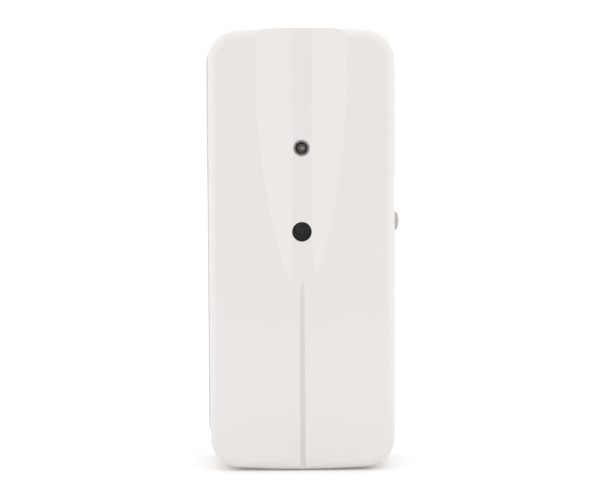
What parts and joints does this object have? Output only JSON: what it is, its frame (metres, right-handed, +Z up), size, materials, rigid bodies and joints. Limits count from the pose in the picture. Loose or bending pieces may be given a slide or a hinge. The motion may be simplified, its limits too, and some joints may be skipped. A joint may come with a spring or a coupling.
{
  "type": "glass break sensor",
  "caption": "Upright wall sensor in a white snap-together case with a scooped front, status light, microphone opening, side test button and wall tamper plunger.",
  "frame": {"origin": "centre of the wall screw pattern, on the wall plane, half way up the case", "axes": "+Z up, -Y out of the front, +Y into the wall, +X to the right seen from the front"},
  "size_m": [0.0483, 0.026, 0.1098],
  "materials": {
    "case_white": "satin, fine moulded texture",
    "button_grey": "satin",
    "foam_black": "open-cell foam",
    "led_clear": "clear epoxy",
    "board_green": "solder mask",
    "steel_zinc": "zinc plated",
    "tinned_metal": "tin plated",
    "nickel": "nickel plated",
    "spacer_white": "moulded nylon",
    "capsule_metal": "drawn can",
    "rubber_black": "moulded rubber",
    "switch_black": "moulded",
    "plunger_white": "moulded",
    "cell_sleeve": "shrink sleeve",
    "holder_black": "moulded",
    "chip_black": "moulded epoxy",
    "shield_metal": "tinned sheet",
    "copper_wire": "enamelled copper",
    "capacitor_sleeve": "shrink sleeve",
    "ceramic_tan": "ceramic"
  },
  "bodies": {
    "case": {"front_cover": "case_white", "back_plate": "case_white", "circuit_board": "board_green", "board_screws": "steel_zinc", "status_led": "led_clear", "led_leads": "tinned_metal", "led_spacer": "spacer_white", "microphone_capsule": "capsule_metal", "microphone_boot": "rubber_black", "microphone_foam": "foam_black", "test_switch_body": "switch_black", "tamper_switch_body": "switch_black", "tamper_spring": "nickel", "battery": "cell_sleeve", "battery_holder": "holder_black", "battery_contact_plus": "nickel", "battery_contact_minus": "nickel", "battery_spring": "nickel", "processor_chip": "chip_black", "processor_leads": "tinned_metal", "amplifier_chip": "chip_black", "amplifier_leads": "tinned_metal", "radio_shield": "shield_metal", "crystal": "shield_metal", "antenna_wire": "copper_wire", "storage_capacitor": "capacitor_sleeve", "chip_parts": "ceramic_tan"},
    "test_button": {"test_button": "button_grey"},
    "test_switch_plunger": {"test_switch_plunger": "plunger_white"},
    "tamper_plunger": {"tamper_plunger": "plunger_white"}
  },
  "joints": [
    {"name": "button_press", "type": "slide", "parent": "case", "child": "test_button", "axis": [-1, 0, 0], "range_m": [0, 0.0003], "stiffness_N_per_m": 2000},
    {"name": "switch_press", "type": "slide", "parent": "case", "child": "test_switch_plunger", "axis": [-1, 0, 0], "range_m": [0, 0.0003]},
    {"name": "tamper_release", "type": "slide", "parent": "case", "child": "tamper_plunger", "axis": [0, 1, 0], "range_m": [0, 0.0015], "stiffness_N_per_m": 200, "springref_m": 0.0025, "deforming": ["tamper_spring"]}
  ],
  "couplings": [
    {"joint": "switch_press", "follows": "button_press", "ratio": 1}
  ]
}
